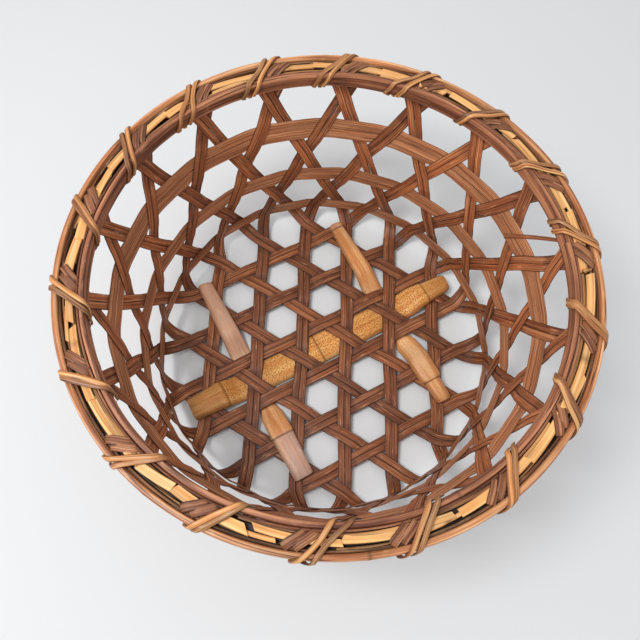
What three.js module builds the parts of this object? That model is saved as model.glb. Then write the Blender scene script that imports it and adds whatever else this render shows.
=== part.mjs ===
// A round open-weave bamboo basket, in millimetres, with +Z up and the table at z = 0.
// Bands run across the base in three directions and climb the wall, where they lean both ways
// past three hoops. Their ends stand in the channel between the two rim hoops, under short
// fillers, and flat lashings bind the rim. Three staves are threaded through the base.
import * as THREE from 'three';

// weave
const bandPitch = 43;
const bandWidth = 12.4;
const bandThickness = 1;
const crossingClearance = 0.9;
const baseLevelRun = 10.5;
const wallLevelRun = 11.5;
const topLevelRun = 16;
const hoopLevelMargin = 4.9;
const seatGap = 0.3;

// profile
const shoulderMargin = 5.3;
const shoulderRadius = 9;
const wallFlare = 29.3;
const wallHeight = 162.8;
const wallTwist = THREE.MathUtils.degToRad(3);

// places up the wall, measured along it from the top of the shoulder
const lowerHoopRise = 7.5;
const middleHoopRise = 53;
const upperHoopRise = 107.5;
const topCrossingRise = 142;
const bandEndMargin = 7;

// hoops in the wall
const lowerHoopWidth = 13;
const middleHoopWidth = 16;
const upperHoopWidth = 21;
const hoopThickness = 1;

// rim
const rimHoopHeight = 13;
const innerHoopWidth = 6.4;
const outerHoopWidth = 7;
const channelWidth = 9.4;
const rimChamfer = 2;
const fillerThickness = 2.2;
const fillerSideGap = 0.4;
const fillerEndGap = 0.6;

// lashings
const lashingWidth = 3.4;
const lashingThickness = 1.2;
const lashingPitch = 5.8;
const lashingSeatDrift = 17.5;
const lashingInnerDrift = 14.6;
const lashingOuterDrift = 7;
const lashingClearance = 0.8;

// staves
const longStaveWidth = 24;
const longStaveShift = 1.5;
const crossStaveWidth = 18;
const staveThickness = 2.6;
const staveEdge = 0.8;
const staveClearance = 1.5;

// counts and shares
const directions = 3;
const bandsEachSide = 3;
const cells = 18;
const hoopCrossings = 2 * cells;
const lashingLoops = 2;
const fillers = 9;
const wallSteps = 12;
const rimSteps = 72;
const fillerSteps = 8;
const riseSteps = 5;
const hoopPlateauShare = 0.46;
const flarePowerShare = 1.6;
const latticeReachShare = 3.3;
const lashingClimbShares = [0, 0.31, 0.42, 0.89, 1];
const rimTurnShare = 0.5;
const longStaveEndShare = 3.2;
const crossStaveFarShare = 2.5;
const crossStaveNearShare = 2.35;
const staveTipShare = 0.7;

const crossingStep = (crossingClearance + bandThickness) / 2;
const weaveHalfHeight = crossingStep + bandThickness / 2;
const longStaveLow = staveThickness + seatGap;
const weavePlane = longStaveLow + staveThickness + seatGap + weaveHalfHeight;
const staveHigh = weavePlane + weaveHalfHeight + seatGap;
const sixth = Math.PI / directions;
const halfCell = Math.PI / cells;
const quarterCell = halfCell / 2;
const tan30 = Math.tan(sixth / 2);
const cos30 = Math.cos(sixth / 2);
const sin30 = Math.sin(sixth / 2);

const colours = {
  weave: 0x86563c, hoop: 0x8f5c40, rimOuter: 0xbe7850, rimInner: 0x82553c,
  filler: 0xe2aa60, lashing: 0xba7f50, stave: 0xc88f4e,
};
// The outermost crossing in the base sets where the shoulder starts. A reach is a length along
// the basket's surface from the middle of the base.
const outerCrossing = Math.hypot(bandPitch / 2, (bandPitch * (bandsEachSide - 1 / 4)) / cos30);
const flatBaseRadius = outerCrossing + shoulderMargin;
const shoulderTop = flatBaseRadius + (shoulderRadius * Math.PI) / 2;
const hoops = [
  { name: 'hoop_lower', reach: shoulderTop + lowerHoopRise, width: lowerHoopWidth },
  { name: 'hoop_middle', reach: shoulderTop + middleHoopRise, width: middleHoopWidth },
  { name: 'hoop_upper', reach: shoulderTop + upperHoopRise, width: upperHoopWidth },
];
const basket = new THREE.Group();

function addPiece(name, geometry, color, roughness) {
  geometry.computeVertexNormals();
  const piece = new THREE.Mesh(geometry, new THREE.MeshStandardMaterial({ color, roughness, metalness: 0 }));
  piece.name = name;
  basket.add(piece);
}

// The profile runs from the middle of the base, round the shoulder and up the flared wall.
function makeProfile() {
  const path = new THREE.Path();
  path.moveTo(0, 0);
  path.lineTo(flatBaseRadius, 0);
  path.absarc(flatBaseRadius, shoulderRadius, shoulderRadius, -Math.PI / 2, 0, false);
  const wall = [];
  for (let i = 1; i <= wallSteps; i += 1) {
    const share = i / wallSteps;
    const radius = flatBaseRadius + shoulderRadius + wallFlare * share ** flarePowerShare;
    wall.push(new THREE.Vector2(radius, shoulderRadius + wallHeight * share));
  }
  path.splineThru(wall);
  return path;
}

const profile = makeProfile();
const profileLength = profile.getLength();

// A place on the basket's surface, with its inward normal. The wall twists clockwise as it rises.
function onSurface(reach, angle) {
  const share = Math.min(reach / profileLength, 1);
  const rise = Math.max(reach - shoulderTop, 0) / (profileLength - shoulderTop);
  const turned = angle - wallTwist * rise;
  const spot = profile.getPointAt(share);
  const slope = profile.getTangentAt(share);
  const outward = new THREE.Vector3(Math.cos(turned), Math.sin(turned), 0);
  const point = outward.clone().multiplyScalar(spot.x).setZ(spot.y + weavePlane);
  const normal = outward.clone().multiplyScalar(-slope.y).setZ(slope.x);
  return { point, normal };
}

// A closed solid swept through stations. A section is a counterclockwise list of (across, out).
function sweep(stations, section, closed) {
  const count = stations.length;
  const sides = section.length;
  const positions = [];
  const indices = [];
  stations.forEach((station, i) => {
    const before = stations[closed ? (i + count - 1) % count : Math.max(i - 1, 0)];
    const after = stations[closed ? (i + 1) % count : Math.min(i + 1, count - 1)];
    const along = after.point.clone().sub(before.point).normalize();
    const across = new THREE.Vector3().crossVectors(station.normal, along).normalize();
    for (const corner of section) {
      const spot = station.point.clone();
      spot.addScaledVector(across, corner.x * (station.widthShare ?? 1));
      spot.addScaledVector(station.normal, corner.y);
      positions.push(...spot.toArray());
    }
  });
  for (let j = 1; j < sides - 1 && !closed; j += 1) {
    const end = (count - 1) * sides;
    indices.push(0, j + 1, j);
    indices.push(end, end + j, end + j + 1);
  }
  const last = closed ? count : count - 1;
  for (let i = 0; i < last; i += 1) {
    for (let j = 0; j < sides; j += 1) {
      const a = i * sides + j;
      const b = i * sides + ((j + 1) % sides);
      const c = ((i + 1) % count) * sides + j;
      const d = ((i + 1) % count) * sides + ((j + 1) % sides);
      indices.push(c, a, b, c, b, d);
    }
  }
  const geometry = new THREE.BufferGeometry();
  geometry.setAttribute('position', new THREE.Float32BufferAttribute(positions, 3));
  geometry.setIndex(indices);
  return geometry;
}

function flatSection(width, thickness) {
  const x = width / 2;
  const y = thickness / 2;
  return [[x, y], [-x, y], [-x, -y], [x, -y]].map(([across, out]) => new THREE.Vector2(across, out));
}

// Offsets of the parallel bands from the middle of the base: half a pitch, then whole pitches.
function bandOffsets() {
  const offsets = [];
  for (let i = 0; i < bandsEachSide; i += 1) {
    offsets.push(bandPitch * (i + 1 / 2), -bandPitch * (i + 1 / 2));
  }
  return offsets.sort((a, b) => a - b);
}

// Crossings in the base, for a band along +Y at x = offset. It lies over one direction of
// bands and under the other.
function baseCrossings(offset) {
  const crossings = [];
  for (const other of bandOffsets()) {
    const y = (other + offset / 2) / cos30;
    crossings.push({ x: offset, y, side: 1, level: baseLevelRun });
    crossings.push({ x: offset, y: -y, side: -1, level: baseLevelRun });
  }
  const reach = latticeReachShare * bandPitch;
  return crossings.filter(({ x, y }) => Math.hypot(x, y) < reach).sort((a, b) => a.y - b.y);
}

// Crossings up the wall above +Y: hoop, band, hoop, band, hoop, band, then the rim.
function wallCrossings(offset) {
  const lean = Math.sign(offset);
  const rank = Math.round(Math.abs(offset) / bandPitch - 1 / 2);
  const start = Math.PI / 2 - lean * quarterCell * (1 + 4 * rank);
  const [lower, middle, upper] = hoops.map((hoop) => hoop.reach);
  const reaches = [lower, (lower + middle) / 2, middle, (middle + upper) / 2, upper,
    shoulderTop + topCrossingRise, profileLength - bandEndMargin];
  return reaches.map((reach, k) => {
    const atRim = k === reaches.length - 1;
    const angle = start + lean * quarterCell * (atRim ? k - rimTurnShare : k);
    const hoop = hoops.find((one) => one.reach === reach);
    const side = atRim ? 0 : lean * (hoop ? -1 : 1);
    const plain = k < reaches.length - 2 ? wallLevelRun : topLevelRun;
    const level = hoop ? hoop.width / 2 + hoopLevelMargin : plain;
    return { x: reach * Math.cos(angle), y: reach * Math.sin(angle), side, level };
  });
}

function bandRoute(offset) {
  const turned = wallCrossings(-offset).map((crossing) => ({ ...crossing, x: -crossing.x, y: -crossing.y }));
  return [...turned.reverse(), ...baseCrossings(offset), ...wallCrossings(offset)];
}

// Where a band stands along its route: a place counts crossings, and side is its offset there.
// Each crossing has a level stretch. One by the shoulder has a middle station too, and so has a
// long step, where the band keeps the side of its crossing in the base.
function bandPlaces(route, knots) {
  const last = route.length - 1;
  const places = [{ place: 0, side: 0 }];
  for (let i = 0; i < last; i += 1) {
    const gap = knots[i].distanceTo(knots[i + 1]);
    const bends = Math.abs(knots[i].length() - flatBaseRadius) < bandPitch / 2;
    const leave = route[i].level;
    const arrive = route[i + 1].level;
    if (bends) places.push({ place: i, side: route[i].side });
    if (i > 0) places.push({ place: i + leave / gap, side: route[i].side });
    if (gap - leave - arrive > bandWidth) {
      const inner = knots[i].length() < knots[i + 1].length() ? i : i + 1;
      places.push({ place: i + 1 / 2, side: route[inner].side });
    }
    if (i + 1 < last) places.push({ place: i + 1 - arrive / gap, side: route[i + 1].side });
  }
  return [...places, { place: last, side: 0 }];
}

function bandStations(offset, turn) {
  const route = bandRoute(offset);
  const knots = route.map(({ x, y }) => new THREE.Vector3(x, y, 0));
  const curve = new THREE.CatmullRomCurve3(knots, false, 'centripetal');
  return bandPlaces(route, knots).map(({ place, side }) => {
    const flat = curve.getPoint(place / (route.length - 1));
    const angle = Math.atan2(flat.y, flat.x) + turn;
    const { point, normal } = onSurface(Math.hypot(flat.x, flat.y), angle);
    return { point: point.addScaledVector(normal, side * crossingStep), normal };
  });
}

function addBands() {
  const section = flatSection(bandWidth, bandThickness);
  for (let family = 0; family < directions; family += 1) {
    bandOffsets().forEach((offset, i) => {
      const letter = 'abc'[family];
      const geometry = sweep(bandStations(offset, -family * sixth), section, false);
      addPiece(`weave_${letter}${i + 1}`, geometry, colours.weave, 0.6);
    });
  }
}

// A hoop passes inside the bands that lean one way and outside those that lean the other.
function addHoop({ name, reach, width }, level) {
  const stations = [];
  for (let i = 0; i < hoopCrossings; i += 1) {
    const side = (i + level) % 2 === 0 ? 1 : -1;
    for (const share of [-hoopPlateauShare, hoopPlateauShare]) {
      const angle = quarterCell + (i + share) * halfCell;
      const { point, normal } = onSurface(reach, angle);
      stations.push({ point: point.addScaledVector(normal, side * crossingStep), normal });
    }
  }
  addPiece(name, sweep(stations, flatSection(width, hoopThickness), true), colours.hoop, 0.6);
}

const rimTop = weavePlane + shoulderRadius + wallHeight + fillerThickness + 2 * seatGap;
const rimBottom = rimTop - rimHoopHeight;
const channelRadius = flatBaseRadius + shoulderRadius + wallFlare;
const outerHoopOutside = channelRadius + channelWidth / 2 + outerHoopWidth;
const innerHoopInside = channelRadius - channelWidth / 2 - innerHoopWidth;

// A rim hoop's profile: square towards the channel and chamfered on its open side.
function addRimHoop(name, channelSide, openSide, color) {
  const towards = Math.sign(openSide - channelSide);
  const outline = [
    [channelSide, rimBottom], [openSide - towards * rimChamfer, rimBottom],
    [openSide, rimBottom + rimChamfer], [openSide, rimTop - rimChamfer],
    [openSide - towards * rimChamfer, rimTop], [channelSide, rimTop],
  ].map(([radius, z]) => new THREE.Vector2(radius, z));
  if (towards < 0) outline.reverse();
  const geometry = new THREE.LatheGeometry([...outline, outline[0]], rimSteps);
  addPiece(name, geometry.rotateX(Math.PI / 2), color, 0.5);
}

// Fillers lie end to end on the channel, level with the hoops' tops.
function addFillers() {
  const section = flatSection(channelWidth - 2 * fillerSideGap, fillerThickness);
  const span = (2 * Math.PI) / fillers;
  const trim = fillerEndGap / 2 / channelRadius;
  for (let n = 0; n < fillers; n += 1) {
    const stations = [];
    for (let i = 0; i <= fillerSteps; i += 1) {
      const angle = n * span + THREE.MathUtils.lerp(trim, span - trim, i / fillerSteps);
      const outward = new THREE.Vector3(Math.cos(angle), Math.sin(angle), 0);
      const point = outward.multiplyScalar(channelRadius).setZ(rimTop - fillerThickness / 2);
      stations.push({ point, normal: new THREE.Vector3(0, 0, 1) });
    }
    addPiece(`rim_filler_${n + 1}`, sweep(stations, section, false), colours.filler, 0.5);
  }
}

// One lashing winds round both rim hoops where two bands cross. It passes under them beside the
// crossing, climbs the outer hoop and crosses the top, leaning clockwise from inside to outside.
// A corner is its place across the rim and up, its normal, and its drift from the crossing.
function lashingCorners() {
  const outset = lashingClearance + lashingThickness / 2;
  const side = (outerHoopOutside - innerHoopInside) / 2 + outset;
  const top = rimHoopHeight / 2 + outset;
  const sideIn = side - rimChamfer;
  const topIn = top - rimChamfer;
  const bandSide = weaveHalfHeight + lashingClearance;
  const diagonal = Math.SQRT1_2;
  const [start, ...climb] = lashingClimbShares.map((share) => (
    THREE.MathUtils.lerp(lashingSeatDrift, -lashingOuterDrift, share)
  ));
  return [
    { across: bandSide, up: -top, normalOut: 0, normalUp: -1, drift: start },
    { across: sideIn, up: -top, normalOut: diagonal, normalUp: -diagonal, drift: climb[0] },
    { across: side, up: -topIn, normalOut: 1, normalUp: 0, drift: climb[1] },
    { across: side, up: topIn, normalOut: 1, normalUp: 0, drift: climb[2] },
    { across: sideIn, up: top, normalOut: diagonal, normalUp: diagonal, drift: climb[3] },
    { across: -sideIn, up: top, normalOut: -diagonal, normalUp: diagonal, drift: lashingInnerDrift },
    { across: -side, up: topIn, normalOut: -1, normalUp: 0, drift: lashingInnerDrift },
    { across: -side, up: -topIn, normalOut: -1, normalUp: 0, drift: lashingSeatDrift },
    { across: -sideIn, up: -top, normalOut: -diagonal, normalUp: -diagonal, drift: lashingSeatDrift },
  ];
}

function lashingStations(centreAngle) {
  const middle = (innerHoopInside + outerHoopOutside) / 2;
  const corners = lashingCorners();
  const steps = lashingLoops * corners.length;
  const stations = [];
  for (let i = 0; i < steps; i += 1) {
    const { across, up, normalOut, normalUp, drift } = corners[i % corners.length];
    const advance = (i / corners.length - lashingLoops / 2) * lashingPitch;
    const angle = centreAngle + (advance + drift) / (middle + across);
    const outward = new THREE.Vector3(Math.cos(angle), Math.sin(angle), 0);
    const point = outward.clone().multiplyScalar(middle + across).setZ((rimBottom + rimTop) / 2 + up);
    const normal = outward.clone().multiplyScalar(normalOut).setZ(normalUp);
    stations.push({ point, normal });
  }
  return stations;
}

// The least distance between the edges of one loop and those of the next.
function leastSelfGap(stations, width) {
  const perLoop = stations.length / lashingLoops;
  const samples = 16;
  const edgePoints = [];
  for (let i = 0; i < stations.length - 1; i += 1) {
    const from = stations[i];
    const to = stations[i + 1];
    const run = to.point.clone().sub(from.point).normalize();
    const across = new THREE.Vector3().crossVectors(from.normal, run).normalize();
    for (let k = 0; k < samples; k += 1) {
      const centre = from.point.clone().lerp(to.point, k / samples);
      for (const sign of [-1, 1]) {
        const spot = centre.clone().addScaledVector(across, (sign * width) / 2);
        edgePoints.push({ spot, place: i + k / samples });
      }
    }
  }
  let least = Infinity;
  for (const a of edgePoints) {
    for (const b of edgePoints) {
      if (b.place - a.place > perLoop / 2) least = Math.min(least, a.spot.distanceTo(b.spot));
    }
  }
  return least;
}

function addLashings() {
  const section = flatSection(lashingWidth, lashingThickness);
  let least = Infinity;
  for (let n = 0; n < cells; n += 1) {
    const stations = lashingStations(halfCell + n * 2 * halfCell - wallTwist);
    least = Math.min(least, leastSelfGap(stations, lashingWidth));
    const number = String(n + 1).padStart(2, '0');
    addPiece(`rim_lashing_${number}`, sweep(stations, section, false), colours.lashing, 0.5);
  }
  console.log(`least gap between a lashing's loops: ${least.toFixed(2)} mm`);
}

// A stave's section: flat underneath, with its two upper edges taken off.
function staveSection(width) {
  const x = width / 2;
  const y = staveThickness / 2;
  const e = staveEdge;
  return [[x, y - e], [x - e, y], [e - x, y], [-x, y - e], [-x, -y], [x, -y]]
    .map(([across, out]) => new THREE.Vector2(across, out));
}

// A stave lies low under the weave in the middle and rises through a cell near each end.
function addStave(name, { angle, shift, width, low, riseFrom, riseTo, farEnd, nearEnd }) {
  const places = [];
  for (let i = 0; i <= riseSteps; i += 1) places.push(THREE.MathUtils.lerp(riseFrom, riseTo, i / riseSteps));
  const tip = width * (1 - staveTipShare);
  const route = [-nearEnd, tip - nearEnd, ...places.map((p) => -p).reverse(), ...places, farEnd - tip, farEnd];
  const along = new THREE.Vector3(Math.cos(angle), Math.sin(angle), 0);
  const aside = new THREE.Vector3(-Math.sin(angle), Math.cos(angle), 0);
  const stations = route.map((place, i) => {
    const share = THREE.MathUtils.smoothstep(Math.abs(place), riseFrom, riseTo);
    const bottom = THREE.MathUtils.lerp(low, staveHigh, share);
    const point = along.clone().multiplyScalar(place).addScaledVector(aside, shift);
    point.setZ(bottom + staveThickness / 2);
    const atTip = i === 0 || i === route.length - 1;
    return { point, normal: new THREE.Vector3(0, 0, 1), widthShare: atTip ? staveTipShare : 1 };
  });
  addPiece(name, sweep(stations, staveSection(width), false), colours.stave, 0.4);
}

function addStaves() {
  const column = (bandPitch * 3) / 2 / cos30;
  const longReach = (longStaveWidth / 2) * tan30 + bandWidth / 2 / cos30 + staveClearance;
  addStave('brace_long', {
    angle: sixth / 2,
    shift: longStaveShift,
    width: longStaveWidth,
    low: longStaveLow,
    riseFrom: column + longReach,
    riseTo: (bandPitch * 5) / 2 / cos30 - longReach,
    farEnd: longStaveEndShare * bandPitch,
    nearEnd: longStaveEndShare * bandPitch,
  });
  const slantReach = crossStaveWidth / 2 / tan30 + bandWidth / 2 / sin30 + staveClearance;
  const squareReach = bandWidth / 2 + staveClearance;
  for (const [n, sign] of [[1, 1], [2, -1]]) {
    addStave(`brace_cross_${n}`, {
      angle: -sixth,
      shift: sign * column,
      width: crossStaveWidth,
      low: 0,
      riseFrom: Math.max(slantReach, bandPitch / 2 + squareReach),
      riseTo: Math.min(2 * bandPitch - slantReach, (bandPitch * 3) / 2 - squareReach),
      farEnd: crossStaveNearShare * bandPitch,
      nearEnd: crossStaveFarShare * bandPitch,
    });
  }
}

addBands();
hoops.forEach(addHoop);
addRimHoop('rim_inner', channelRadius - channelWidth / 2, innerHoopInside, colours.rimInner);
addRimHoop('rim_outer', channelRadius + channelWidth / 2, outerHoopOutside, colours.rimOuter);
addFillers();
addLashings();
addStaves();

export default basket;
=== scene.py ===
import math

import bmesh
import bpy
import numpy as np
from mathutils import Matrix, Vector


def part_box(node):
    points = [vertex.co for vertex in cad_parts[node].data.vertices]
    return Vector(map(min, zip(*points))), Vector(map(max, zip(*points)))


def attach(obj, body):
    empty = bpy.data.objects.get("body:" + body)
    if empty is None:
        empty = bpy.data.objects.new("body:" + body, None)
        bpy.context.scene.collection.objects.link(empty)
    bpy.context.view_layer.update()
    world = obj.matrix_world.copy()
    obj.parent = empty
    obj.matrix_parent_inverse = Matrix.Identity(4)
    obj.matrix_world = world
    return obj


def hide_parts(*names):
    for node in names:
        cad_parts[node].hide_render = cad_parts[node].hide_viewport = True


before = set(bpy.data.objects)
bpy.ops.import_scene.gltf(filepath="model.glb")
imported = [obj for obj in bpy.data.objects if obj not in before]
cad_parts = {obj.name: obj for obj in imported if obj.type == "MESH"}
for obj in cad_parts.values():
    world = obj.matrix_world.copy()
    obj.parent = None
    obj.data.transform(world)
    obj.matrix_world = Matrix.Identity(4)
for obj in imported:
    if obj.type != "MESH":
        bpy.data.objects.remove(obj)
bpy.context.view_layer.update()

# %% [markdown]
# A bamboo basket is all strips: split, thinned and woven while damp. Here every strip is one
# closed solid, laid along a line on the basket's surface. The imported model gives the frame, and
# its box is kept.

mm = 0.001
print("frame nodes:", len(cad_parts))

# %% [markdown]
# The basket's skin is one surface of revolution: a flat base, a shoulder and a flared wall that
# twists a little clockwise. A place on it is a reach, which is a length along the surface from
# the middle of the base, and an angle. Bands are routed in reach and angle, as a flat drawing,
# and then lifted onto the skin, because a real weaver also starts flat and bends it up.
#
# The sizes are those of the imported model, but for the shoulder. Split bamboo springs back from a
# tight bend, so the shoulder is rounder here. What it gains is taken from the base and the wall,
# so the hoops and the rim stay at the model's heights.

# %% The weave's driving sizes
band_pitch = 43 * mm
band_width = 12.4 * mm
bands_each_side = 3
cells = 18
half_cell = math.pi / cells
quarter_cell = half_cell / 2
sixth = math.pi / 3
cos30 = math.cos(math.pi / 6)
outer_crossing = math.hypot(band_pitch / 2, band_pitch * (bands_each_side - 1 / 4) / cos30)
past_crossing = 5.3 * mm
packed_shoulder = 9 * mm
shoulder_radius = 16 * mm
rounder = shoulder_radius - packed_shoulder
flat_radius = outer_crossing + past_crossing - rounder
wall_height = 162.8 * mm - rounder
wall_flare = 29.3 * mm
flare_power = 1.6
wall_twist = math.radians(3)
weave_half_height = 1.45 * mm
weave_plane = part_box("weave_a1")[0].z + weave_half_height
shoulder_top = flat_radius + shoulder_radius * math.pi / 2

# %% The skin of the basket
base_steps = 19
arc = np.linspace(0, math.pi / 2, 40)
climb = np.linspace(0, 1, 240)[1:]
flared = (rounder + wall_height * climb) / (rounder + wall_height)
skin_radius = np.concatenate([
    np.linspace(0, flat_radius, base_steps + 1)[:-1],
    flat_radius + shoulder_radius * np.sin(arc),
    flat_radius + shoulder_radius + wall_flare * flared ** flare_power,
])
skin_height = np.concatenate([
    np.zeros(base_steps),
    shoulder_radius * (1 - np.cos(arc)),
    shoulder_radius + wall_height * climb,
])
skin_steps = np.hypot(np.diff(skin_radius), np.diff(skin_height))
skin_reach = np.concatenate([[0], np.cumsum(skin_steps)])
skin_slope = np.stack([np.gradient(skin_radius, skin_reach), np.gradient(skin_height, skin_reach)])
top_reach = skin_reach[-1]


def on_skin(reach, angle):
    """Points of the weave's middle surface, with their normals towards the inside."""
    rise = np.clip((reach - shoulder_top) / (top_reach - shoulder_top), 0, None)
    turned = angle - wall_twist * rise
    radius = np.interp(reach, skin_reach, skin_radius)
    height = np.interp(reach, skin_reach, skin_height)
    run = np.interp(reach, skin_reach, skin_slope[0])
    lift = np.interp(reach, skin_reach, skin_slope[1])
    cos, sin = np.cos(turned), np.sin(turned)
    points = np.stack([radius * cos, radius * sin, weave_plane + height], axis=1)
    normals = np.stack([-lift * cos, -lift * sin, run], axis=1)
    return points, normals / np.linalg.norm(normals, axis=1, keepdims=True)


print("skin reach in mm:", round(top_reach / mm, 1))

# %% [markdown]
# One helper makes every strip. A flat grid is rolled up round a section, moved station by
# station along a line, and its two ends are closed. Each point also carries two values for the
# finishes. "grain" holds the length along the strip, the place across it and the tone there, so
# that the fibres follow the strip however it bends. Every strip starts at its own length and has
# a lane of its own, so that no two show the same fibres. "mark" darkens the rings where leaves
# grew on the cane.

# %% Smooth lines, smooth steps and slow wandering
def smooth_line(knots, steps):
    """A centripetal Catmull-Rom curve through knots of any dimension, at the given places."""
    padded = np.vstack([2 * knots[0] - knots[1], knots, 2 * knots[-1] - knots[-2]])
    index = np.minimum(steps.astype(int), len(knots) - 2)
    share = (steps - index)[:, None]
    p0, p1, p2, p3 = (padded[index + k] for k in range(4))
    pairs = ((p0, p1), (p1, p2), (p2, p3))
    d0, d1, d2 = (np.sqrt(np.linalg.norm(b - a, axis=1))[:, None] for a, b in pairs)
    leave = ((p1 - p0) / d0 - (p2 - p0) / (d0 + d1) + (p2 - p1) / d1) * d1
    arrive = ((p2 - p1) / d1 - (p3 - p1) / (d1 + d2) + (p3 - p2) / d2) * d1
    square = 3 * (p2 - p1) - 2 * leave - arrive
    cube = 2 * (p1 - p2) + leave + arrive
    return p1 + share * (leave + share * (square + share * cube))


def ease(share):
    """A share from 0 to 1 that starts and ends gently."""
    return share * share * (3 - 2 * share)


def smooth_steps(at, places, values):
    """Values at each place, eased from one to the next."""
    index = np.clip(np.searchsorted(places, at, side="right") - 1, 0, len(places) - 2)
    gap = np.maximum(places[index + 1] - places[index], 1e-9)
    share = ease(np.clip((at - places[index]) / gap, 0, 1))
    return values[index] + (values[index + 1] - values[index]) * share


def lengths_along(points):
    """The length of a line up to each of its points."""
    return np.concatenate([[0], np.cumsum(np.linalg.norm(np.diff(points, axis=0), axis=1))])


def spread_evenly(spacing, points, *others):
    """The same line, and the other columns, with stations about one spacing apart."""
    length = lengths_along(points)
    at = np.linspace(0, length[-1], max(int(length[-1] / spacing), 2) + 1)
    tables = (points, *others)
    return [np.stack([np.interp(at, length, column) for column in table.T], axis=1) for table in tables]


def wander(count, spacing, amount, rng, shortest=50 * mm, longest=220 * mm):
    """A slow random drift, made of three waves."""
    at = np.arange(count) * spacing
    total = np.zeros(count)
    for _ in range(3):
        total += np.sin(2 * math.pi * at / rng.uniform(shortest, longest) + rng.uniform(0, 2 * math.pi))
    return total * amount / 2


# %% Sections: flat strips with eased edges, and rounded ones
def flat_section(width, thickness, crown=0.06):
    """Corners of a strip's section, as (across, out), with its upper side a little crowned."""
    shares = [(0.5, 0), (0.45, 0.42), (0.25, 0.5 + crown / 2), (0, 0.5 + crown), (-0.25, 0.5 + crown / 2),
              (-0.45, 0.42), (-0.5, 0), (-0.45, -0.42), (0, -0.5), (0.45, -0.42)]
    return np.array(shares) * (width, thickness)


def round_section(width, height, corners=16, squareness=0.7):
    """A rounded rectangle between an ellipse and a box."""
    turn = np.arange(corners) * 2 * math.pi / corners
    cos, sin = np.cos(turn), np.sin(turn)
    across = np.sign(cos) * np.abs(cos) ** squareness * width / 2
    return np.stack([across, np.sign(sin) * np.abs(sin) ** squareness * height / 2], axis=1)


# %% One strip
grain_unit = 100 * mm
grain_room = 400
lane_margin = 0.02


def add_strip(bm, points, normals, section, rng, tone=0.5, shift=0, widths=1, heights=1, roll=0,
              marks=0, skew=0):
    """Rolls a grid round a section along a line, with a random start and lane in the grain."""
    count, sides = len(points), len(section)
    along = np.gradient(points, axis=0)
    along /= np.linalg.norm(along, axis=1, keepdims=True)
    across = np.cross(normals, along)
    across /= np.linalg.norm(across, axis=1, keepdims=True)
    out = np.cross(along, across)
    shift, widths, heights, roll, marks, skew = (
        np.broadcast_to(value, count)[:, None] for value in (shift, widths, heights, roll, marks, skew))
    tones = np.broadcast_to(tone, count)
    x = section[None, :, 0] * widths
    y = section[None, :, 1] * heights
    turned_x = x * np.cos(roll) - y * np.sin(roll) + shift
    turned_y = x * np.sin(roll) + y * np.cos(roll)
    spots = points[:, None] + across[:, None] * turned_x[..., None] + out[:, None] * turned_y[..., None]
    spots += along[:, None] * (skew * x)[..., None]
    length = lengths_along(points)
    start = rng.uniform(0, grain_room)
    lane = rng.integers(1, grain_room)
    sweep = np.cumsum(np.linalg.norm(np.diff(section, axis=0, append=section[:1]), axis=1))
    there_and_back = 1 - np.abs(2 * np.concatenate([[0], sweep[:-1]]) / sweep[-1] - 1)
    place = lane_margin + (1 - 2 * lane_margin) * there_and_back
    grain = bm.verts.layers.float_vector["grain"]
    mark = bm.verts.layers.float["mark"]
    grid = bmesh.ops.create_grid(bm, x_segments=sides, y_segments=count - 1, size=1)
    for vert in grid["verts"]:
        i = round((vert.co.y + 1) / 2 * (count - 1))
        j = round((vert.co.x + 1) / 2 * sides) % sides
        vert.co = spots[i, j]
        vert[grain] = (start + length[i] / grain_unit, lane + place[j], tones[i])
        vert[mark] = marks[i, 0]


# %% From strips to a finished piece
weld_distance = 1e-7
sharp_angle = math.radians(38)


def new_piece():
    """An empty bmesh with the layers that the finishes read."""
    bm = bmesh.new()
    bm.verts.layers.float_vector.new("grain")
    bm.verts.layers.float.new("mark")
    return bm


def finish_piece(bm, name, finish, slot, *nodes):
    """Closes the strips and makes them one object that rides on the basket."""
    seams = [vert for vert in bm.verts if vert.is_boundary]
    bmesh.ops.remove_doubles(bm, verts=seams, dist=weld_distance)
    ends = [edge for edge in bm.edges if edge.is_boundary]
    bmesh.ops.holes_fill(bm, edges=ends, sides=0)
    bmesh.ops.recalc_face_normals(bm, faces=bm.faces)
    for face in bm.faces:
        face.smooth = True
    for edge in bm.edges:
        edge.smooth = edge.calc_face_angle(0) < sharp_angle
    mesh = bpy.data.meshes.new(name)
    bm.to_mesh(mesh)
    bm.free()
    mesh.materials.append(finish)
    piece = bpy.data.objects.new(name, mesh)
    bpy.context.scene.collection.objects.link(piece)
    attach(piece, "root")
    if nodes:
        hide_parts(*nodes)


# %% [markdown]
# Old bamboo is never one colour. The finish mixes a brown that changes slowly from strip to
# strip, long fibres, dark edges where the skin was split away, dark threads and pale scuffs. A
# node graph is used because it can read the grain values and so bends with every strip, which a
# flat picture could not do. Roughness and a fine bump come from the same fibres. Some finishes
# are painted darker near the base: this is painted shade, for the little light that comes in there.

# %% Helpers for node graphs
def put(tree, kind, values, **settings):
    """Adds a node, with its inputs by name or number: a socket is joined, a number is set."""
    node = tree.nodes.new(kind)
    for name, value in settings.items():
        setattr(node, name, value)
    for key, value in values.items():
        if isinstance(value, bpy.types.NodeSocket):
            tree.links.new(value, node.inputs[key])
        else:
            node.inputs[key].default_value = value
    return node


def noise(tree, vector, scale, detail=4.0, roughness=0.6):
    """Noise on the grain, stretched by a scale along and a scale across."""
    stretched = put(tree, "ShaderNodeVectorMath", {0: vector, 1: (*scale, 0)}, operation="MULTIPLY")
    values = {"Vector": stretched.outputs[0], "Scale": 1.0, "Detail": detail, "Roughness": roughness}
    return put(tree, "ShaderNodeTexNoise", values).outputs["Fac"]


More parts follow.
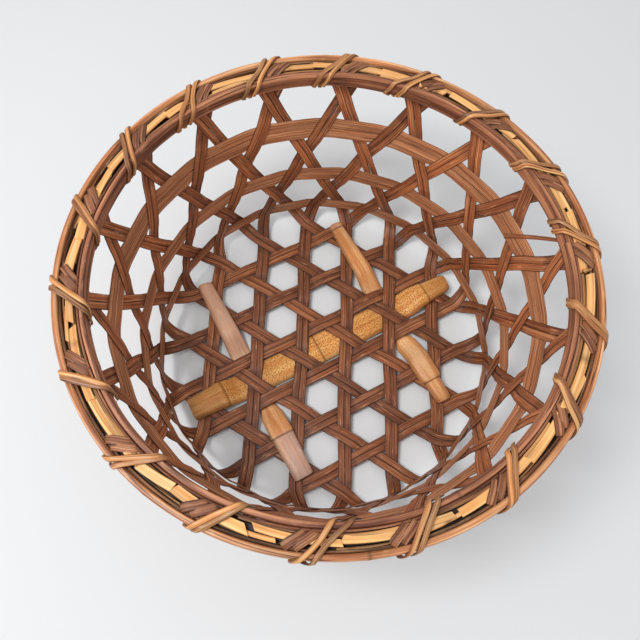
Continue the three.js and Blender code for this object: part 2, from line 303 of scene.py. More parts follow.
def maths(tree, operation, *values, **settings):
    """One step of arithmetic on values or sockets."""
    node = put(tree, "ShaderNodeMath", dict(enumerate(values)), operation=operation, **settings)
    return node.outputs[0]


def ramp(tree, value, low, high, to_low=0.0, to_high=1.0):
    """A value taken from one range to another and kept inside it."""
    values = {"Value": value, "From Min": low, "From Max": high, "To Min": to_low, "To Max": to_high}
    return put(tree, "ShaderNodeMapRange", values).outputs[0]


def blend(tree, share, a, b, kind="MIX"):
    """Colour a with a share of colour b."""
    node = put(tree, "ShaderNodeMix", {0: share, 6: a, 7: b}, data_type="RGBA", blend_type=kind)
    return node.outputs[2]


def srgb(red, green, blue):
    """A colour as read on a screen, from 0 to 255, for a shader."""
    def linear(value):
        value /= 255
        return value / 12.92 if value <= 0.04045 else ((value + 0.055) / 1.055) ** 2.4
    return (linear(red), linear(green), linear(blue), 1)


# %% The fibres of a strip
thread_colour = srgb(52, 24, 12)
edge_colour = srgb(34, 16, 9)
ring_colour = srgb(70, 40, 24)
speck_colour = srgb(150, 84, 32)
scuff_lift = 30


def fibre_colour(tree, fibre, dark, middle, light, spread):
    """Three colours laid over the fibres, the more contrasted the smaller the spread."""
    colour = put(tree, "ShaderNodeValToRGB", {"Fac": ramp(tree, fibre, 0.5 - spread, 0.5 + spread)})
    stops = colour.color_ramp.elements
    stops[0].color = srgb(*dark)
    stops[1].color = srgb(*light)
    stops.new(0.5).color = srgb(*middle)
    return colour.outputs[0]


def drift_and_base_shade(tree, own, painted_base_shade):
    """A brightness that drifts along each strip, and falls to painted_base_shade near the base, as painted
    shade.
    """
    value = ramp(tree, noise(tree, own, (1.3, 7.31), 3.0), 0.3, 0.7, 0.74, 1.22)
    # painted shade: the colour is darkened towards the base, down to painted_base_shade
    if painted_base_shade < 1:
        place = put(tree, "ShaderNodeTexCoord", {}).outputs["Object"]
        height = put(tree, "ShaderNodeSeparateXYZ", {0: place}).outputs[2]
        value = maths(tree, "MULTIPLY", value, ramp(tree, height, 10 * mm, 90 * mm, painted_base_shade, 1))
    return value


# %% The bamboo finish
def bamboo(name, dark, middle, light, edge=0.75, rough=0.5, threads=0.7, scuffs=0.3, fibres=6,
           specks=0.0, tint=(112, 66, 46), tint_share=0.5, relief=0.5, painted_base_shade=1.0, gloss=0.4,
           spread=0.13):
    """Split bamboo. A strip's tone goes from its tint, at 0, to its plain colours, at 1."""
    material = bpy.data.materials.new(name)
    material.use_nodes = True
    tree = material.node_tree
    shader = tree.nodes["Principled BSDF"]
    grain = put(tree, "ShaderNodeAttribute", {}, attribute_name="grain").outputs["Vector"]
    mark = put(tree, "ShaderNodeAttribute", {}, attribute_name="mark").outputs["Fac"]
    along, across, tone = put(tree, "ShaderNodeSeparateXYZ", {0: grain}).outputs
    lane = maths(tree, "FLOOR", across)
    aside = maths(tree, "ABSOLUTE", maths(tree, "SUBTRACT", maths(tree, "FRACT", across), 0.5))
    own = put(tree, "ShaderNodeCombineXYZ", {0: along, 1: lane}).outputs[0]
    # fibres are noise drawn out along the strip, and a thread runs where another passes 0.5
    fibre = noise(tree, grain, (0.8, fibres), 5.0, 0.65)
    line = noise(tree, grain, (0.3, fibres * 0.4), 1.5, 0.5)
    line = maths(tree, "ABSOLUTE", maths(tree, "SUBTRACT", line, 0.5))

    # fibres first, then the tint in patches, the slow drift with painted shade near the base, threads,
    # scuffs, edges and rings
    colour = fibre_colour(tree, fibre, dark, middle, light, spread)
    patch = ramp(tree, noise(tree, grain, (2.5, fibres), 4.0), 0.35, 0.65, 1.15, 0.6)
    tinted = maths(tree, "MULTIPLY", ramp(tree, tone, 0, 1, tint_share, 0), patch, use_clamp=True)
    colour = blend(tree, tinted, colour, srgb(*tint))
    shade = drift_and_base_shade(tree, own, painted_base_shade)
    colour = put(tree, "ShaderNodeHueSaturation", {"Value": shade, "Color": colour}).outputs[0]
    colour = blend(tree, ramp(tree, line, 0.004, 0.016, threads, 0), colour, thread_colour)
    scuff = ramp(tree, noise(tree, grain, (5.0, 3.0), 6.0, 0.7), 0.56, 0.7, 0, scuffs)
    colour = blend(tree, scuff, colour, srgb(*(min(part + scuff_lift, 255) for part in light)))
    colour = blend(tree, ramp(tree, aside, 0.34, 0.445, 0, edge), colour, edge_colour)
    colour = blend(tree, mark, colour, ring_colour)
    if specks:
        speckle = ramp(tree, noise(tree, grain, (80, 22), 2.0, 0.5), 0.5, 0.6, 0, specks)
        colour = blend(tree, maths(tree, "MULTIPLY", speckle, tone), colour, speck_colour)

    # the same fibres make the surface a little rough and raised
    bump = put(tree, "ShaderNodeBump", {"Strength": relief, "Distance": 0.4 * mm, "Height": fibre})
    tree.links.new(colour, shader.inputs["Base Color"])
    tree.links.new(ramp(tree, fibre, 0.3, 0.7, rough + 0.1, rough - 0.1), shader.inputs["Roughness"])
    tree.links.new(bump.outputs[0], shader.inputs["Normal"])
    shader.inputs["Specular IOR Level"].default_value = gloss
    return material


# %% The finishes of the weave and the wall
# painted shade: the weave and the hoops are painted darker towards the base
weave_finish = bamboo(
    "woven_bamboo", (124, 60, 34), (182, 104, 60), (226, 156, 106), edge=0.95, threads=0.55,
    scuffs=0.5, tint=(96, 54, 40), tint_share=0.8, relief=0.35, painted_base_shade=0.62, gloss=0.3,
    spread=0.15)
hoop_finish = bamboo(
    "hoop_bamboo", (134, 74, 46), (190, 120, 78), (234, 170, 122), edge=0.55, threads=0.75,
    fibres=8, painted_base_shade=0.75, gloss=0.3, spread=0.12)
end_finish = bamboo(
    "band_end_bamboo", (96, 54, 34), (148, 92, 60), (198, 138, 96), edge=0.9, threads=0.6,
    fibres=5, tint=(84, 50, 38), gloss=0.3)

# %% The finishes of the rim
# painted shade: the near-black tint is taken only by the outer hoop's low cane, at tone 0.1
outer_finish = bamboo(
    "rim_outer_bamboo", (134, 74, 42), (196, 128, 82), (238, 182, 130), edge=0.0, rough=0.4,
    threads=0.8, fibres=5, tint=(50, 28, 18), tint_share=0.95)
inner_finish = bamboo(
    "rim_inner_bamboo", (94, 50, 32), (156, 96, 64), (208, 144, 102), edge=0.0, fibres=4,
    tint=(84, 52, 38), tint_share=0.7)
# painted shade: near-black colours for the strips deep in the channel
channel_shade_finish = bamboo(
    "rim_core_painted_shade", (24, 14, 9), (40, 25, 17), (70, 46, 34), tint=(24, 14, 9))
filler_finish = bamboo(
    "filler_bamboo", (216, 142, 78), (246, 182, 112), (255, 212, 150), edge=0.6, threads=0.4,
    scuffs=0.1, fibres=3, tint=(104, 66, 46), tint_share=0.95, gloss=0.3, spread=0.18)
lashing_finish = bamboo(
    "lashing_bamboo", (150, 84, 42), (212, 140, 80), (250, 196, 128), rough=0.36, threads=0.5,
    fibres=3, tint=(88, 52, 42), tint_share=0.9)

# %% The finishes of the staves
stave_finish = bamboo(
    "stave_bamboo", (204, 128, 68), (224, 156, 96), (244, 192, 138), edge=0.3, rough=0.44,
    threads=0.15, scuffs=0.45, fibres=3, specks=0.3, tint=(196, 158, 142), tint_share=1.0,
    relief=0.3)
long_stave_finish = bamboo(
    "long_stave_bamboo", (200, 126, 60), (222, 156, 84), (238, 184, 112), edge=0.4, rough=0.46,
    threads=0.0, fibres=4, specks=0.85, tint=(170, 116, 74), tint_share=0.85, relief=0.3,
    gloss=0.25)
print("finishes:", len(bpy.data.materials))

# %% [markdown]
# The base is woven in three directions, so that its openings are hexagons. Each band passes over
# the bands of one direction and under those of the other, goes round the shoulder and climbs the
# wall, leaning left or right. On the real basket a band is two narrow strands side by side, so
# each band here is two strips that wander a little, which shows as the dark line between them.
#
# A band is pulled tight, so its route is mostly straight from crossing to crossing, with a share
# of a smooth curve. Where a band lies outside or underneath, its tone is lowered: this is painted
# shade, for the light that reaches it less there.

# %% Where the bands cross
hoop_rises = (7.5 * mm - rounder, 53 * mm - rounder, 107.5 * mm - rounder)
hoop_widths = (13 * mm, 16 * mm, 21 * mm)
hoop_reaches = [shoulder_top + rise for rise in hoop_rises]
top_crossing_reach = shoulder_top + 142 * mm - rounder
band_end_reach = top_reach - 7 * mm
base_level = 10.5 * mm
wall_level = 11.5 * mm
top_level = 16 * mm
hoop_margin = 4.9 * mm
low_crossings = 5
base_reach = 3.3 * band_pitch
band_offsets = [band_pitch * (i + 1 / 2) for i in range(-bands_each_side, bands_each_side)]
print("bands each way, in mm from the middle:", [round(offset / mm, 1) for offset in band_offsets])


def base_crossings(offset):
    """Crossings in the base of a band along +Y, as (x, y, side, length of its level stretch)."""
    found = []
    for other in band_offsets:
        y = (other + offset / 2) / cos30
        found += [(offset, y, 1, base_level), (offset, -y, -1, base_level)]
    near = [one for one in found if math.hypot(one[0], one[1]) < base_reach]
    return sorted(near, key=lambda one: one[1])


def wall_crossings(offset):
    """Crossings up the wall: hoop, band, hoop, band, hoop, band, and the end in the rim."""
    lean = math.copysign(1, offset)
    rank = round(abs(offset) / band_pitch - 1 / 2)
    start = math.pi / 2 - lean * quarter_cell * (1 + 4 * rank)
    low, middle, high = hoop_reaches
    reaches = [
        low, (low + middle) / 2, middle, (middle + high) / 2, high, top_crossing_reach, band_end_reach]
    found = []
    for k, reach in enumerate(reaches):
        turns = k - 0.5 if reach == band_end_reach else k
        angle = start + lean * quarter_cell * turns
        side = lean
        level = wall_level if k < low_crossings else top_level
        if reach in hoop_reaches:
            side = -lean
            level = hoop_widths[hoop_reaches.index(reach)] / 2 + hoop_margin
        if reach == band_end_reach:
            side = 0
        found.append((reach * math.cos(angle), reach * math.sin(angle), side, level))
    return found


# %% How a band lies between its crossings
def band_places(route, knots):
    """Places along the route where the band's side is settled."""
    places = [(0, 0)]
    last = len(route) - 1
    for i in range(last):
        gap = np.linalg.norm(knots[i + 1] - knots[i])
        leave, arrive = route[i][3], route[i + 1][3]
        if i > 0:
            places.append((i + leave / gap, route[i][2]))
        if gap - leave - arrive > band_width:
            inner = i if np.linalg.norm(knots[i]) < np.linalg.norm(knots[i + 1]) else i + 1
            places.append((i + 1 / 2, route[inner][2]))
        if i + 1 < last:
            places.append((i + 1 - arrive / gap, route[i + 1][2]))
    return np.array([*places, (last, 0)], float)


crossing_step = 0.5 * mm
steps_between = 50
route_window = 13
side_window = 9
tautness = 0.8
station_gap = 2.4 * mm


def averaged(values, window, mode):
    """Each value replaced by the mean of those in a window round it."""
    return np.convolve(values, np.ones(window) / window, mode=mode)


def taut_route(knots, steps):
    """A route that is mostly straight between its knots, with its corners rounded off."""
    straight = np.stack([np.interp(steps, range(len(knots)), column) for column in knots.T], axis=1)
    mixed = tautness * straight + (1 - tautness) * smooth_line(knots, steps)
    padded = np.pad(mixed, ((route_window // 2, route_window // 2), (0, 0)), mode="edge")
    return np.stack([averaged(column, route_window, "valid") for column in padded.T], axis=1)


def band_line(offset, turn):
    """The middle line of a band, with its normals and its side: 1 inside, -1 outside."""
    outward = wall_crossings(offset)
    back = [(-x, -y, side, level) for x, y, side, level in wall_crossings(-offset)]
    route = [*reversed(back), *base_crossings(offset), *outward]
    knots = np.array([(x, y) for x, y, _, _ in route])
    places = band_places(route, knots)
    steps = np.linspace(0, len(knots) - 1, steps_between * (len(knots) - 1) + 1)
    flat = taut_route(knots, steps)
    side = averaged(smooth_steps(steps, places[:, 0], places[:, 1]), side_window, "same")
    angle = np.arctan2(flat[:, 1], flat[:, 0]) + turn
    points, normals = on_skin(np.hypot(flat[:, 0], flat[:, 1]), angle)
    side = side[:, None]
    return spread_evenly(station_gap, points + normals * side * crossing_step, normals, side)


# %% Weave the bands
strand_width = 6.3 * mm
strand_thickness = 0.85 * mm
strand_aside = 3.06 * mm
strand_section = flat_section(strand_width, strand_thickness)
outside_shade_depth = 0.45
weave_rng = np.random.default_rng(11)
for family, letter in enumerate("abc"):
    for number, offset in enumerate(band_offsets, 1):
        points, normals, side_of_skin = band_line(offset, -family * sixth)
        # painted shade: a band's tone is lowered where it lies outside the skin
        outside_shade_mask = outside_shade_depth * np.clip(-side_of_skin[:, 0], 0, 1)
        count = len(points)
        together = wander(count, station_gap, 0.65 * mm, weave_rng)
        bm = new_piece()
        for side in (-1, 1):
            apart = side * strand_aside + wander(count, station_gap, 0.1 * mm, weave_rng)
            add_strip(
                bm, points, normals, strand_section, weave_rng,
                tone=np.clip(weave_rng.uniform(0.2, 1.1) - outside_shade_mask, 0, 1),
                shift=together + apart,
                widths=1 + wander(count, station_gap, 0.035, weave_rng),
                roll=wander(count, station_gap, 0.04, weave_rng))
        node = f"weave_{letter}{number}"
        finish_piece(bm, f"strands_{letter}{number}", weave_finish, "weave", node)
print("bands woven:", 3 * len(band_offsets))

# %% [markdown]
# Old baskets shed slivers. One has split off a band high in the right wall and lies across an
# opening, so it is one thin strip between two places on the skin.

# %% A loose sliver
sliver_start = shoulder_top + 98 * mm - rounder
sliver_climb = 59 * mm
sliver_angle = 0.462
sliver_turn = 0.23
sliver_section = flat_section(4.2 * mm, 0.8 * mm)
along = np.linspace(0, 1, 16)
points, normals = on_skin(sliver_start + sliver_climb * along, sliver_angle - sliver_turn * along)
points += normals * (1.2 - 0.9 * along)[:, None] * mm
bm = new_piece()
add_strip(bm, points, normals, sliver_section, weave_rng, tone=0.4, widths=1 - 0.35 * along)
finish_piece(bm, "loose_sliver", weave_finish, "weave")

# %% [markdown]
# Three hoops hold the wall's shape. Each is a bundle of strips laid edge to edge, and each strip
# passes inside the bands that lean one way and outside those that lean the other. A strip high
# in the bundle meets a leaning band a little further along than a low one does, so its steps are
# shifted with the band's lean. A hoop's ends meet behind a band, where the eye doesn't go.

# %% The line of a hoop
hold_share = 0.33
hoop_steps = 14
hoop_gap = 2 * mm
end_gap = 0.0006
overlap = 1.03


def hoop_line(reach, rise, rank, band_rise):
    """The middle line of one strip of a hoop, a small rise above the hoop's middle."""
    lean_rate = quarter_cell / band_rise
    places, values = [], []
    for i in range(-1, 2 * cells + 2):
        side = 1 if (i + rank) % 2 == 0 else -1
        middle = quarter_cell + i * half_cell + side * rise * lean_rate
        places += [middle - hold_share * half_cell, middle + hold_share * half_cell]
        values += [side, side]
    first = quarter_cell + (1 - rank % 2) * half_cell
    angles = np.linspace(first, first + 2 * math.pi - end_gap, 2 * cells * hoop_steps + 1)
    side = smooth_steps(angles, np.array(places), np.array(values, float))
    points, normals = on_skin(np.full(len(angles), reach + rise), angles)
    return points + normals * (side * crossing_step)[:, None], normals


# %% Hoops in the wall
hoop_rng = np.random.default_rng(23)
hoop_strips = (("hoop_lower", 2), ("hoop_middle", 3), ("hoop_upper", 4))
for rank, (node, strips) in enumerate(hoop_strips):
    pitch = hoop_widths[rank] / strips
    section = flat_section(pitch * overlap, strand_thickness)
    gap_below = max(rank, 1)
    band_rise = (hoop_reaches[gap_below] - hoop_reaches[gap_below - 1]) / 2
    bm = new_piece()
    for k in range(strips):
        rise = (k - (strips - 1) / 2) * pitch
        points, normals = hoop_line(hoop_reaches[rank], rise, rank, band_rise)
        count = len(points)
        add_strip(
            bm, points, normals, section, hoop_rng, tone=hoop_rng.uniform(0.4, 1),
            shift=wander(count, hoop_gap, 0.06 * mm, hoop_rng),
            roll=wander(count, hoop_gap, 0.03, hoop_rng))
    finish_piece(bm, f"{node}_strips", hoop_finish, "hoop", node)
    print(node, "strips:", strips)

# %% [markdown]
# Two thick hoops clamp the tops of the bands, one inside and one outside. Each is two split
# canes side by side, so it is two rounded sections carried once round, with a slight wave and a
# few swollen rings. Between the hoops lies a channel, dark at the bottom.

# %% The rim's sizes, from the frame
rim_low, rim_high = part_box("rim_outer")
inner_low, inner_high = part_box("rim_inner")
outer_hoop_width = 7 * mm
inner_hoop_width = 6.4 * mm
channel_width = 9.4 * mm
rim_top = rim_high.z
rim_height = rim_high.z - rim_low.z
outer_radius = rim_high.x - outer_hoop_width / 2
channel_radius = rim_high.x - outer_hoop_width - channel_width / 2
inner_radius = channel_radius - channel_width / 2 - inner_hoop_width / 2
rim_middle = rim_top - rim_height / 2
rim_start = 0.15
rim_rng = np.random.default_rng(31)
print("the inner hoop's height in the frame, in mm:", round((inner_high.z - inner_low.z) / mm, 1))


def round_rim(angles, radius, height):
    """Points round the rim, with normals up."""
    points = np.stack([radius * np.cos(angles), radius * np.sin(angles), height], axis=1)
    return points, np.tile((0.0, 0.0, 1.0), (len(angles), 1))


def ring_marks(angles, places, width):
    """A bell-shaped mark at each place round the rim."""
    turn = (angles[:, None] - np.array(places)[None] + math.pi) % (2 * math.pi) - math.pi
    return np.exp(-(turn / width) ** 2).sum(axis=1)


# %% The two rim hoops
cane_steps = 540
cane_wave = 0.16 * mm
cane_waves = (60 * mm, 260 * mm)
cane_height = rim_height - 0.4 * mm
cane_squareness = 0.55
swell_width = 0.012
ring_width = 0.003


def add_cane(bm, radius, width, drop, tone, ring_places):
    """One split cane, on edge all round the rim, its top a small drop below the rim's top."""
    angles = np.linspace(rim_start, rim_start + 2 * math.pi - end_gap, cane_steps + 1)
    gap = radius * (angles[1] - angles[0])
    swell = ring_marks(angles, ring_places, swell_width)
    radii = radius + wander(len(angles), gap, cane_wave, rim_rng, *cane_waves)
    heights = rim_middle - drop + wander(len(angles), gap, cane_wave, rim_rng, *cane_waves)
    points, normals = round_rim(angles, radii, heights)
    section = round_section(width, cane_height, squareness=cane_squareness)
    add_strip(
        bm, points, normals, section, rim_rng, tone=tone, widths=1 + 0.1 * swell,
        heights=1 + 0.02 * swell, marks=0.6 * ring_marks(angles, ring_places, ring_width))


def rim_hoop(node, finish, radius, width, canes):
    """A hoop of canes side by side, each with its share of the width, its drop, tone and rings."""
    bm = new_piece()
    edge = radius + width / 2
    for share, drop, tone, ring_places in canes:
        cane = width * share
        add_cane(bm, edge - cane / 2, cane * overlap, drop, tone, ring_places)
        edge -= cane
    finish_piece(bm, f"{node}_canes", finish, node, node)


# each hoop's narrow cane by the channel is a real cane, lowered and painted dark (tone 0.1 outside, 0.3
# inside) as painted shade for the gap beside it
rim_hoop("rim_outer", outer_finish, outer_radius, outer_hoop_width, (
    (0.66, 0.1 * mm, 1.0, (0.5, 1.62, 2.9, 4.1, 4.85, 5.7)), (0.34, 2.2 * mm, 0.1, (1.2, 3.4, 5.2))))
rim_hoop("rim_inner", inner_finish, inner_radius, inner_hoop_width, (
    (0.3, 0.9 * mm, 0.3, (2.0, 4.4)), (0.7, 0.1 * mm, 0.95, (1.1, 2.3, 3.6, 5.2))))
print("rim hoops at", round(inner_radius / mm, 1), "and", round(outer_radius / mm, 1), "mm")

# %% [markdown]
# Short lengths of pale bamboo are pushed into the channel, two or three abreast, to fill it.
# They are laid end to end by a loop, lane by lane, with seeded lengths, widths, tilts and slanted
# ends. Three near-black strips under them, two on edge and one flat, close the view into the
# channel: their colour is painted shade for its depth.

# %% Strips of painted shade in the channel
filler_sectors = 9
filler_names = [f"rim_filler_{n + 1}" for n in range(filler_sectors)]
edge_section = round_section(1.2 * mm, 7 * mm, corners=8)
floor_section = flat_section(channel_width + 1.6 * mm, 1 * mm)
core_strips = (
    (-3.2 * mm, 6.5 * mm, edge_section),
    (3.2 * mm, 6.5 * mm, edge_section),
    (0, 6 * mm, floor_section),
)
angles = np.linspace(rim_start, rim_start + 2 * math.pi - end_gap, 361)
ones = np.ones(len(angles))
bm = new_piece()
for aside, drop, section in core_strips:
    points, normals = round_rim(angles, (channel_radius + aside) * ones, (rim_top - drop) * ones)
    add_strip(bm, points, normals, section, rim_rng, tone=0)
finish_piece(bm, "rim_core", channel_shade_finish, "rim_inner", *filler_names)

# %% One filler
filler_thickness = 1.8 * mm
filler_step = 4 * mm
fewest_steps = 6
ring_length = 0.9 * mm


def add_filler(bm, start, length, aside, slant, drop, width, tone):
    """One filler: a strip on the channel that drifts across it by its slant."""
    span = length / channel_radius
    count = max(int(length / filler_step), fewest_steps) + 1
    angles = np.linspace(start, start + span, count)
    share = np.linspace(-0.5, 0.5, count)
    climb = rim_rng.uniform(0.5, 1.3) * mm * share
    points, normals = round_rim(angles, channel_radius + aside + slant * share, rim_top - drop + climb)
    skew = np.zeros(count)
    skew[[0, -1]] = rim_rng.uniform(-0.9, 0.9, 2)
    place = rim_rng.uniform(-1, 1)
    ring = np.exp(-((share - place) * length / ring_length) ** 2)
    add_strip(
        bm, points, normals, flat_section(width, filler_thickness, 0.12), rim_rng, tone=tone,
        widths=1 + share * rim_rng.uniform(-0.12, 0.12), roll=rim_rng.uniform(-0.2, 0.2),
        skew=skew, marks=0.8 * ring)


# %% Fillers on the channel
filler_lanes = (
    # all in mm but the tones: place across, lengths, widths, spaces after, depth, tones
    (-3.4, (50, 130), (1.8, 2.6), (4, 40), 3.6, (0.0, 0.3)),
    (3.4, (40, 90), (1.6, 2.4), (30, 90), 4.4, (0.0, 0.3)),
    (2.6, (22, 50), (2.2, 3.0), (50, 150), 2.8, (0.7, 0.95)),
    (-2.9, (22, 50), (2.2, 3.0), (60, 150), 2.6, (0.6, 0.95)),
    (-0.2, (20, 58), (4.4, 7.0), (-3, 4), 1.8, (0.75, 1.0)),
)
filler_pieces = [new_piece() for _ in filler_names]
for place, lengths, widths, spaces, depth, tones in filler_lanes:
    angle = rim_rng.uniform(0, 0.2)
    end = angle + 2 * math.pi
    while angle < end:
        length = min(rim_rng.uniform(*lengths) * mm, (end - angle) * channel_radius)
        middle = angle + length / 2 / channel_radius
        sector = int(middle / (2 * math.pi) * filler_sectors) % filler_sectors
        add_filler(
            filler_pieces[sector], angle, length, (place + rim_rng.uniform(-0.6, 0.6)) * mm,
            rim_rng.uniform(-3.2, 3.2) * mm, (depth + rim_rng.uniform(-0.3, 0.4)) * mm,
            rim_rng.uniform(*widths) * mm, rim_rng.uniform(*tones))
        angle += (length + rim_rng.uniform(*spaces) * mm) / channel_radius
for bm, node in zip(filler_pieces, filler_names):
    finish_piece(bm, f"{node}_strips", filler_finish, "filler", node)
print("filler pieces:", len(filler_names))

# %% [markdown]
# Eighteen lashings bind the rim, one where each pair of bands crosses. Two flat strands go round
# together: up the inner hoop, over the top with a clockwise lean, down the outer hoop and back
# under. The path is drawn once, as a few places across the rim, up it and along it, and a smooth
# line through them is wrapped round the rim at each crossing. Beside it a band's own end, two
# strands wide, is bent over the channel.
#
# A place is (across, up, along): from the rim's inside to its outside, from its middle up, and
# clockwise or back along the rim.

# %% Paths round the rim
wrap_half_width = 12.6 * mm
wrap_half_height = 7.2 * mm
wrap_radius = (outer_radius + outer_hoop_width / 2 + inner_radius - inner_hoop_width / 2) / 2
wrap_steps = 8
wrap_gap = 2 * mm
wrap_turn = math.radians(1.6)


def wrap_line(knots, centre):
    """A line through places round the rim, with normals away from the rim's middle."""
    steps = np.linspace(0, len(knots) - 1, wrap_steps * (len(knots) - 1) + 1)
    across, up, along = smooth_line(np.array(knots, float), steps).T
    radius = wrap_radius + across
    angle = centre + along / radius
    cos, sin = np.cos(angle), np.sin(angle)
    points = np.stack([radius * cos, radius * sin, rim_middle + up], axis=1)
    out = (across / wrap_half_width) ** 3
    lift = (up / wrap_half_height) ** 3
    normals = np.stack([out * cos, out * sin, lift], axis=1)
    return points, normals / np.linalg.norm(normals, axis=1, keepdims=True)


def lashing_knots(drift, inner_spread, outer_spread):
    """Places of one strand, starting low inside the rim and ending under it."""
    a = wrap_half_width
    b = wrap_half_height
    low = -b - 0.3 * mm
    places = [
        (-a, -0.6 * b, 18), (-a, 0.5 * b, 13.5), (2 * mm - a, b, 11.5), (0, b + 0.3 * mm, 2),
        (a - 2 * mm, b, -7), (a, 0.5 * b, -9.5), (a, -0.6 * b, -13), (a - 2 * mm, -b, -13.5),
        (4 * mm, low, -8), (3.5 * mm, low, 4), (2.5 * mm, low, 14), (2 * mm - a, -b, 19),
    ]
    changes = ((0, inner_spread), (2, inner_spread), (3, 0), (5, outer_spread), (7, 0), (11, 0))
    spread = np.interp(range(len(places)), *zip(*changes))
    return [(x, y, z * mm + drift * (1 + more)) for (x, y, z), more in zip(places, spread)]


# %% Lash the rim
lashing_rng = np.random.default_rng(47)
lashing_section = flat_section(3.7 * mm, 1.1 * mm, 0.3)
for n in range(cells):
    centre = half_cell * (1 + 2 * n) - wall_twist + wrap_turn
    centre += math.radians(lashing_rng.uniform(-0.5, 0.5))
    inner_spread, outer_spread = lashing_rng.uniform(-0.5, 1.2, 2)
    bm = new_piece()
    for strand in (-1, 1):
        drift = strand * lashing_rng.uniform(1.8, 3) * mm
        points, normals = wrap_line(lashing_knots(drift, inner_spread, outer_spread), centre)
        tone = lashing_rng.uniform(0.6, 1) if strand < 0 else lashing_rng.uniform(0, 0.6)
        add_strip(
            bm, points, normals, lashing_section, lashing_rng, tone=tone,
            widths=1 + wander(len(points), wrap_gap, 0.05, lashing_rng, 20 * mm, 60 * mm))
    name = f"lashing_{n + 1:02d}"
    finish_piece(bm, f"{name}_strands", lashing_finish, "lashing", f"rim_{name}")
print("lashings:", cells)

# %% Band ends bent over the channel
end_places = ((-5.6, 1.5, 7), (-4.6, 4.9, 6), (-1, 6.1, 1.5), (3, 6.0, -4), (5.2, 4.6, -6.5))
bm = new_piece()
for n in range(cells):
    centre = half_cell * (1 + 2 * n) - wall_twist + wrap_turn
    for strand in (0, 1):
        drift = -8.2 - 6 * strand + lashing_rng.uniform(-0.5, 0.5)
        knots = [(x * mm, y * mm, (z + drift) * mm) for x, y, z in end_places]
        points, normals = wrap_line(knots, centre)
        add_strip(bm, points, normals, strand_section, lashing_rng, tone=lashing_rng.uniform(0, 1))
finish_piece(bm, "band_ends", end_finish, "weave")
print("band ends:", 2 * cells)

# %% [markdown]
# Three staves of thicker cane are threaded through the base, to stiffen it. Each lies under the
# weave in the middle, where it is pared thin, and comes up through an opening near its ends,
# where it keeps its thickness. So it is a crowned strip on a line with a long easy step. The
# rings of the cane are swollen and darker, and the tips are rounded off.

# %% The staves' line and section
stave_thickness = 2.6 * mm
stave_step = 1.2 * mm
seat_gap = 0.3 * mm
stave_high = weave_plane + weave_half_height + seat_gap
raised_extra = 1.31
ring_swell = 2 * mm
line_width = 0.8 * mm
line_past_ring = 1.2 * mm
tip_length = 3 * mm
tan30 = math.tan(math.pi / 6)
column = band_pitch * 1.5 / cos30


def stave_section(width):
    """Flat underneath and crowned on top, as a split cane is, with a ridge to one side."""
    shares = [(0.5, -0.5), (0.5, -0.13), (0.47, 0.06), (0.38, 0.25), (0.3, 0.38), (0.2, 0.45), (-0.2, 0.5),
              (-0.38, 0.37), (-0.46, 0.12), (-0.5, -0.13), (-0.5, -0.5), (-0.25, -0.5), (0.25, -0.5)]
    return np.array(shares) * (width, stave_thickness)


def along_stave(place, pairs):
    """Values along a stave, with straight tapers between (place in mm, value) pairs."""
    places, values = np.array(pairs, float).T
    return np.interp(place, places * mm, values)


def bells(place, middles, width):
    """Bell-shaped bumps at some places along a stave, all of one width."""
    return np.exp(-((place[:, None] - middles[None]) / width) ** 2).sum(axis=1)


# %% One stave
def add_stave(node, finish, angle, shift, width, low, rises, widths, tones, rings, slants=(0, 0)):
    """A stave with its width and tone at places along it, the first and last of them its ends."""
    start = widths[0][0] * mm
    end = widths[-1][0] * mm
    count = int((end - start) / stave_step) + 1
    place = np.linspace(start, end, count)
    share = ease(np.clip((np.abs(place) - rises[0]) / (rises[1] - rises[0]), 0, 1))
    from_end = np.minimum(place - start, end - place)
    middles = np.array(rings) * mm
    ring = bells(place, middles, ring_swell)
    line = bells(place, middles + line_past_ring, line_width)
    thick = 1 + raised_extra * share
    thick *= 0.8 + 0.2 * np.clip(from_end / tip_length, 0, 1)
    thick *= 1 + 0.1 * ring - 0.14 * line
    along = np.array([math.cos(angle), math.sin(angle), 0])
    aside = np.array([-math.sin(angle), math.cos(angle), 0])
    points = place[:, None] * along + shift * aside
    points[:, 2] = low + (stave_high - low) * share + stave_thickness / 2 * thick
    skew = np.zeros(count)
    skew[:3] = slants[0]
    skew[-3:] = slants[1]
    normals = np.tile((0.0, 0.0, 1.0), (count, 1))
    bm = new_piece()
    add_strip(
        bm, points, normals, stave_section(width), rim_rng, skew=skew,
        tone=along_stave(place, tones), heights=thick, marks=0.85 * line,
        widths=along_stave(place, widths) * (1 + 0.03 * ring - 0.02 * line))
    finish_piece(bm, f"{node}_cane", finish, "stave", node)


# %% Where the staves rise
rise_margin = 1.5 * mm
long_width = 24 * mm
long_reach = long_width / 2 * tan30 + band_width / 2 / cos30 + rise_margin
long_rises = (column + long_reach, band_pitch * 2.5 / cos30 - long_reach)
cross_width = 18 * mm
slant_reach = cross_width / 2 / tan30 + band_width + rise_margin
square_reach = band_width / 2 + rise_margin
cross_rises = (
    max(slant_reach, band_pitch / 2 + square_reach),
    min(2 * band_pitch - slant_reach, band_pitch * 1.5 - square_reach))

# %% Thread the long stave
add_stave(
    "brace_long", long_stave_finish, sixth / 2, 1.5 * mm, long_width, stave_thickness + seat_gap,
    long_rises,
    widths=((-138, 0.86), (-137, 0.9), (-106, 1.08), (0, 1.22), (100, 1.12), (114, 0.97),
            (118, 0.9), (134, 0.8), (141, 0.72), (142, 0.66)),
    tones=((-137, 0.35), (-110, 0.5), (-104, 1), (112, 1), (119, 0.7)),
    rings=(-106, -6, 115), slants=(0, 0.15))

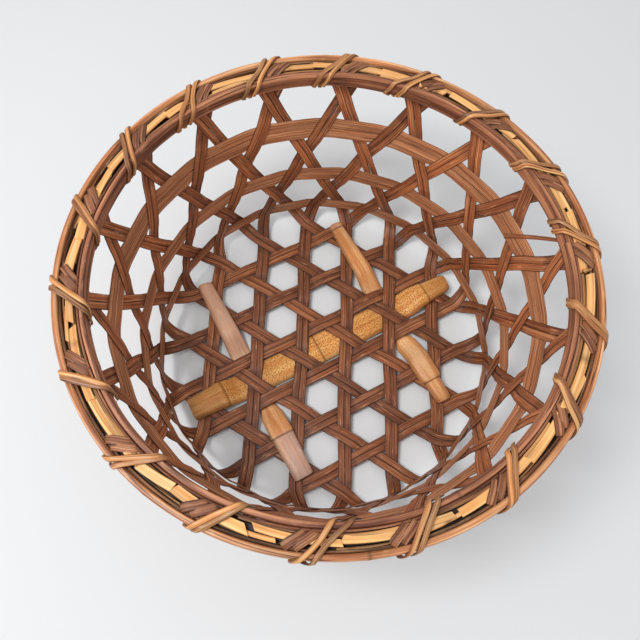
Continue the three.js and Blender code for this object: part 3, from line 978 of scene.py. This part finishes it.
# %% Thread the two cross staves
add_stave(
    "brace_cross_1", stave_finish, -sixth, column, cross_width, 0, cross_rises,
    widths=((-112, 0.72), (-111, 0.8), (-107.5, 0.82), (-104, 0.78), (-28, 1.14), (16, 1.1),
            (17, 0.5), (24, 0.7), (34, 1.22), (76, 1.18), (80, 0.88), (99.5, 0.8), (101, 0.72)),
    tones=((-112, 0.5), (-107, 0.5), (-103, 1), (101, 1)), rings=(-107, 78))
add_stave(
    "brace_cross_2", stave_finish, -sixth, -column, cross_width, 0, cross_rises,
    widths=((-112, 0.68), (-111, 0.78), (-28, 1.14), (14, 1.1), (15, 0.5), (22, 0.74),
            (36, 1.18), (56, 1.22), (61, 1.16), (100, 1), (101, 0.94)),
    tones=((-112, 0.3), (0, 0.3), (10, 0.85), (57, 0.95), (60, 0.1), (101, 0)), rings=(58,),
    slants=(0.2, 0))
print("staves: 3")

# %% [markdown]
# The picture is taken from above and a little in front, in soft light. A pale floor, a pale sky
# and one large lamp high on the left give the soft shadows under the base and to its right. The
# camera was found by fitting a pinhole to the openings of the weave.

# %% Floor
bm = bmesh.new()
bmesh.ops.create_circle(bm, cap_ends=True, segments=128, radius=12)
floor_mesh = bpy.data.meshes.new("floor")
bm.to_mesh(floor_mesh)
bm.free()
floor = bpy.data.objects.new("floor", floor_mesh)
bpy.context.scene.collection.objects.link(floor)
floor_finish = bpy.data.materials.new("pale_floor")
floor_finish.use_nodes = True
floor_shader = floor_finish.node_tree.nodes["Principled BSDF"]
floor_shader.inputs["Base Color"].default_value = srgb(222, 223, 224)
floor_shader.inputs["Roughness"].default_value = 0.9
floor_mesh.materials.append(floor_finish)

# %% Light
scene = bpy.context.scene
world = bpy.data.worlds.new("soft_sky")
world.use_nodes = True
world.node_tree.nodes["Background"].inputs["Color"].default_value = (0.72, 0.73, 0.74, 1)
scene.world = world
lamp_data = bpy.data.lights.new("big_lamp", "AREA")
lamp_data.size = 0.4
lamp_data.energy = 8.8
lamp = bpy.data.objects.new("big_lamp", lamp_data)
lamp.location = (-0.5, -0.2, 1.2)
lamp.rotation_euler = (math.radians(8.7), math.radians(-22.6), 0)
scene.collection.objects.link(lamp)

# %% Camera
camera_data = bpy.data.cameras.new("camera")
camera_data.lens = 33.75
camera_data.sensor_width = 36
camera_data.sensor_fit = "HORIZONTAL"
camera = bpy.data.objects.new("camera", camera_data)
camera.location = (-0.0137, -0.1909, 0.5591)
camera.rotation_euler = (0.376, -0.028, 0.027)
scene.collection.objects.link(camera)
scene.camera = camera
scene.view_settings.view_transform = "Standard"
